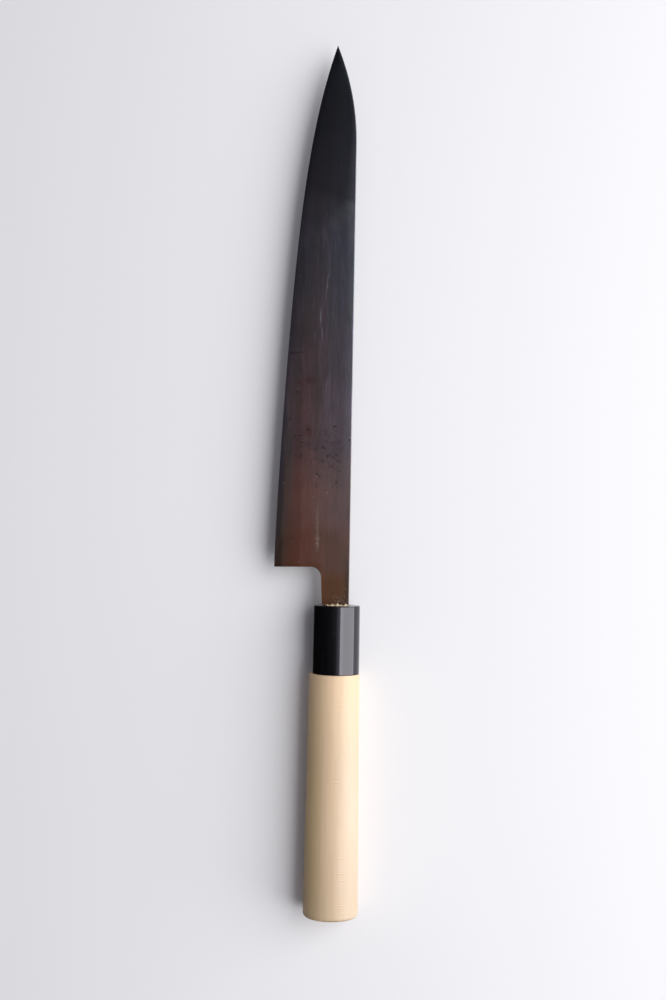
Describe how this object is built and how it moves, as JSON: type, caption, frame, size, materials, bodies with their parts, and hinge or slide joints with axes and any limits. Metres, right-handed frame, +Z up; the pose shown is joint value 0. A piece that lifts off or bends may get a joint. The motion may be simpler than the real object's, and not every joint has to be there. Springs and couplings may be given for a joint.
{
  "type": "sujihiki knife",
  "caption": "Long slim double-bevel slicing knife with a square heel, short neck, glossy black oval collar and pale oval wooden handle.",
  "frame": {"origin": "on the surface that the knife lies on, under the middle of its bounding box", "axes": "+Y along the blade to the tip, +X from the cutting edge to the spine, +Z up, out of the blade's left side"},
  "size_m": [0.0412, 0.4002, 0.0215],
  "materials": {
    "blade_steel": "satin carbon steel with a dark brown and blue-grey patina",
    "black_horn": "polished black horn or resin",
    "magnolia_wood": "bare, finely sanded magnolia",
    "wood_dust_filler": "dry, crumbly glue and wood dust"
  },
  "bodies": {
    "root": {"blade": "blade_steel", "ferrule": "black_horn", "handle_body": "magnolia_wood", "tang_packing": "wood_dust_filler"}
  },
  "joints": []
}
